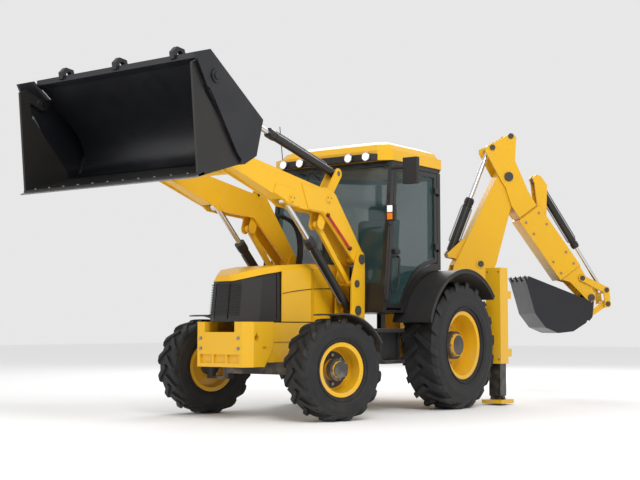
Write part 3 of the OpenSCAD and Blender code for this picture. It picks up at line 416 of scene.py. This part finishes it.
arm_y = 0.45
lift_pins, tilt_pins = ((1.34, 1.08), (2.45, 2.16)), ((1.61, 2.50), (3.49, 3.00))
for side, s in (("left", 1), ("right", -1)):
    y = s * arm_y
    for ram, pins, tube, r, up in (("lift", lift_pins, 1.01, 0.048, -1),
                                   ("tilt", tilt_pins, 1.13, 0.042, 1)):
        body = "%s_barrels" % ram
        drums("%s_gland_%s" % (ram, side), body, black,
              [(on_ram(pins, y, tube - 0.075), on_ram(pins, y, tube + 0.008), r + 0.009),
               (on_ram(pins, y, tube - 0.1), on_ram(pins, y, tube - 0.085), r + 0.005)], 24)
        route = ((0.16, 0.004), (0.2, 0.018), (0.5, 0.016), (tube - 0.14, 0.016), (tube - 0.1, 0.0))
        hose("%s_pipe_%s" % (ram, side), body, steel,
             [on_ram(pins, y, far, up * (r + off)) for far, off in route], 0.008, 8)
    route = ((1.30, 0.15, 1.02), (1.28, 0.155, 1.40), (1.22, 0.16, 1.78),
             (1.30, 0.15, 2.02), (1.50, 0.10, 2.12))
    for k, dy in enumerate((0.0, 0.028, -0.028)):
        hose("arm_hose_%s_%d" % (side, k), ("chassis", "loader_arms"), rubber,
             [(x, y - s * inset + dy, z) for x, inset, z in route], 0.011)
    route = ((1.86, 0.095, 2.30), (1.91, 0.12, 2.42), (1.85, 0.125, 2.50), (1.74, 0.09, 2.44))
    hose("tilt_hose_%s" % side, ("loader_arms", "tip_levers"), rubber,
         [(x, y - s * inset, z) for x, inset, z in route], 0.011)
    three = [(0.03 * math.cos(t), 0.03 * math.sin(t)) for t in (0.6, 2.7, 4.8)]
    drums("arm_pin_screws_%s" % side, "loader_arms", steel,
          [((x + dx, s * 0.548, z + dz), (x + dx, s * 0.556, z + dz), 0.007)
           for x, z in ((1.83, 2.21), (2.45, 2.16)) for dx, dz in three], 6)
    drums("tower_pin_caps_%s" % side, "chassis", cast,
          [((x, s * 0.558, z), (x, s * 0.574, z), r)
           for x, z, r in ((1.27, 1.62, 0.052), (1.34, 1.08, 0.05), (1.36, 1.36, 0.038))], 24)
    for name, body, x, z, out, thick, r in (("bucket", "bucket_pins", 3.55, 2.45, 0.131, 0.014, 0.05),
                                            ("tilt", "mouldboard", 3.49, 3.0, 0.135, 0.01, 0.036)):
        drums("%s_pin_caps_%s" % (name, side), body, cast,
              [((x, s * (arm_y + e * out), z), (x, s * (arm_y + e * (out + thick)), z), r)
               for e in (1, -1)], 24)
red, shader, place = finish_of("red_paint", 0.4)
place.noise(12.0, 5.0).between((0.55, 0.012, 0.01), (0.36, 0.01, 0.01)).feed(shader, "Base Color")
(0.34 + 0.2 * place.noise(25.0)).feed(shader, "Roughness")
drums("safety_strut", "loader_arms", red, [((1.455, 0.551, 1.712), (1.875, 0.551, 2.058), 0.018)], 4)
drums("strut_clips", "loader_arms", plastic,
      [((x, 0.534, z), (x, 0.566, z), 0.02) for x, z in ((1.47, 1.725), (1.86, 2.045))], 12)

# Clam bucket: the rounded inner sheet of the mouldboard, the bolted cutting edge with its screws,
# and the bosses that the clam turns on.
sheet_half, edge_half = 1.048, 1.088
bm = bmesh.new()
rows = []
for t in (i / 24 for i in range(25)):
    weights = ((1 - t) ** 3, 3 * t * (1 - t) ** 2, 3 * t * t * (1 - t), t ** 3)
    x = sum(w * c for w, c in zip(weights, (4.26, 3.50, 3.66, 3.895)))
    z = sum(w * c for w, c in zip(weights, (3.148, 2.65, 2.36, 2.338)))
    rows.append([bm.verts.new((x, y, z)) for y in (-sheet_half, sheet_half)])
for a, b in zip(rows, rows[1:]):
    bm.faces.new((a[0], a[1], b[1], b[0]))
piece("bucket_inner_sheet", "mouldboard", bucket_paint, bm, smooth=True)
bm = bmesh.new()
lip = [(4.335, 2.160), (4.452, 2.124), (4.456, 2.134), (4.345, 2.186)]
a, b = ([bm.verts.new((x, y, z)) for x, z in lip] for y in (-edge_half, edge_half))
bm.faces.new(a)
bm.faces.new(b)
for i in range(len(lip)):
    bm.faces.new((a[i - 1], a[i], b[i], b[i - 1]))
piece("cutting_edge", "clam", steel, bm)
drums("edge_screws", "clam", steel,
      [((4.388, y, 2.168), (4.391, y, 2.184), 0.014) for y in (-0.95 + 0.19 * i for i in range(11))], 6)
for side, s in (("left", 1), ("right", -1)):
    drums("clam_boss_%s" % side, "mouldboard", bucket_paint,
          [((4.235, s * y0, 3.005), (4.235, s * y1, 3.005), r)
           for y0, y1, r in ((1.118, 1.132, 0.062), (1.132, 1.142, 0.034))], 28)

# Backhoe pipes and pins: feed pipes and gland rings on the rams, hose loops at the boom foot,
# dark pin caps, and slide-pad screws on the extending dipper. hoe() takes a point in the backhoe's own
# plane, out from the slew post and up; dip() one along the dipper from its pivot and off its line.
slew_x, slew_y, slew_deg, fall_deg = -1.36, -0.45, 138, -54.04
swing = Matrix.Translation((slew_x, slew_y, 0)) @ Matrix.Rotation(math.radians(slew_deg), 4, "Z")


def hoe(r, z, y=0.0):
    return swing @ Vector((r, y, z))


def dip(a, n, y=0.0):
    pivot_r, pivot_z, fall = 1.276, 2.862, math.radians(fall_deg)
    return hoe(pivot_r + a * math.cos(fall) - n * math.sin(fall),
               pivot_z + a * math.sin(fall) + n * math.cos(fall), y)


def on_tube(a, b, far, up=0.0):
    length = math.hypot(b[0] - a[0], b[1] - a[1])
    u = ((b[0] - a[0]) / length, (b[1] - a[1]) / length)
    return hoe(a[0] + u[0] * far - u[1] * up, a[1] + u[1] * far + u[0] * up)


for name, a, b, tube, r in (("boom", (0.170, 1.010), (0.890, 1.720), 0.82, 0.062),
                            ("dipper", (0.509, 1.856), (1.057, 3.239), 0.775, 0.056),
                            ("bucket", (1.697, 2.844), (2.618, 1.393), 1.05, 0.046)):
    body = "%s_barrel" % name
    turn = (on_tube(a, b, 1) - on_tube(a, b, 0)).to_track_quat("Y", "Z").to_matrix().to_4x4()
    rings("%s_gland" % body, body, black,
          [(Matrix.Translation(on_tube(a, b, tube - d)) @ turn, r)
           for d in (0.024, 0.038, 0.052, 0.066, 0.102)], 0.009, 32)
    for k, up in enumerate((r + 0.016, -r - 0.016)):
        route = ((0.15, 0.9), (0.2, 1), (0.45, 1), (tube - 0.16, 1), (tube - 0.12, 0.85))
        hose("%s_pipe_%d" % (body, k), body, steel,
             [on_tube(a, b, far, up * part) for far, part in route], 0.008, 8)
for k in range(5):
    y = -0.06 + 0.03 * k
    hose("foot_hose_%d" % k, ("carriage", "kingpost"), rubber,
         [(-1.10, slew_y + y * 3, 1.36), (-1.18, slew_y + y * 3, 1.47), hoe(0.02, 1.48 + 0.02 * k, y),
          hoe(0.09, 1.36, y), hoe(0.085, 1.21, y)], 0.013)
pads = [(a, n, 0.014) for a in (0.62, 0.80, 1.25, 1.43) for n in (-0.16, 0.06)]
for s in (1, -1):
    for name, body, material, sides, at, y0, y1, spots in (
            ("boom_caps", "boom", cast, 24, hoe, 0.108, 0.128, [(0.89, 1.72, 0.04)]),
            ("kingpost_caps", "kingpost", cast, 24, hoe, 0.166, 0.18,
             [(0.30, 0.62, 0.055), (0.17, 1.01, 0.046)]),
            ("beam_caps", "dipper_beam", cast, 24, dip, 0.140, 0.153,
             [(0, 0, 0.06), (-0.434, 0.044, 0.036), (-0.413, 0.343, 0.036)]),
            ("sleeve_caps", "dipper_sleeve", cast, 24, dip, 0.114, 0.146, [(1.656, 0.043, 0.034)]),
            ("pad_screws", "dipper_sleeve", steel, 6, dip, 0.135, 0.150, pads),
            ("link_caps", "tipping_link", cast, 24, dip, 0.139, 0.150,
             [(1.977, 0.224, 0.032), (2.134, 0.130, 0.032)]),
            ("bucket_caps", "dig_bucket", cast, 24, dip, 0.114, 0.128, [(1.938, 0.0, 0.046)])):
        drums("%s_%d" % (name, s + 1), body, material,
              [(at(p, q, s * y0), at(p, q, s * y1), r) for p, q, r in spots], sides)

# Drop legs: yellow tops on the ground pads, the pins that hold the pads,
# and the slide screws high and low in each leg's box.
leg_x, leg_y = -0.88, 1.02
for side, s in (("left", 1), ("right", -1)):
    body, y = "stabiliser_%s" % side, s * leg_y
    block("pad_top_%s" % side, body, yellow, (-1.032, y - 0.132, 0.0205), (-0.728, y + 0.132, 0.064), 0.006)
    drums("pad_pin_%s" % side, body, cast,
          [((leg_x, y - 0.085, 0.09), (leg_x, y + 0.085, 0.09), 0.022)], 16)
    drums("leg_screws_%s" % side, "chassis", steel,
          [((-0.975, y + dy, z), (-0.784, y + dy, z), 0.012)
           for dy in (-0.07, 0.07) for z in (0.53, 1.55)], 6)

# Floor and light: a plain pale floor under a white studio sky, with one large soft key light,
# a weak wide fill from the front and a rim light from behind.
plane = bpy.data.meshes.new("floor")
plane.from_pydata([(-40, -40, 0), (40, -40, 0), (40, 40, 0), (-40, 40, 0)], [], [(0, 1, 2, 3)])
floor = bpy.data.objects.new("floor", plane)
scene.collection.objects.link(floor)
pale, shader, place = finish_of("floor_pale", 0.85)
shader.inputs["Base Color"].default_value = (0.9, 0.9, 0.9, 1)
plane.materials.append(pale)
scene.world = bpy.data.worlds.new("studio")
scene.world.use_nodes = True
sky = scene.world.node_tree.nodes["Background"]
sky.inputs["Color"].default_value = (1.0, 1.0, 1.0, 1)
sky.inputs["Strength"].default_value = 0.8
for name, spot, size, power, aim in (("key", (8.0, 9.0, 10.0), 6.0, 1100, (0.6, 0, 1.4)),
                                     ("fill", (14.0, -4.0, 4.0), 8.0, 200, (1.0, 0, 1.2)),
                                     ("rim", (-9.0, -5.0, 8.0), 6.0, 500, (-0.5, 0, 1.5))):
    light = bpy.data.lights.new(name, "AREA")
    light.size = size
    light.energy = power
    lamp = bpy.data.objects.new(name, light)
    scene.collection.objects.link(lamp)
    lamp.location = spot
    lamp.rotation_euler = (Vector(aim) - Vector(spot)).to_track_quat("-Z", "Y").to_euler()

# Camera: placed where the photo was taken from, low in front of the machine's left corner
# and looking slightly up. Position, angles and lens come from a fit to points in the photo.
camera = bpy.data.objects.new("camera", bpy.data.cameras.new("camera"))
scene.collection.objects.link(camera)
scene.camera = camera
camera.data.sensor_width = 36.0
camera.data.lens = 66.72
camera.location = (11.618, 7.625, 0.907)
yaw, pitch = math.radians(-143.676), math.radians(4.194)
look = Vector((math.cos(pitch) * math.cos(yaw), math.cos(pitch) * math.sin(yaw), math.sin(pitch)))
camera.rotation_euler = look.to_track_quat("-Z", "Y").to_euler()
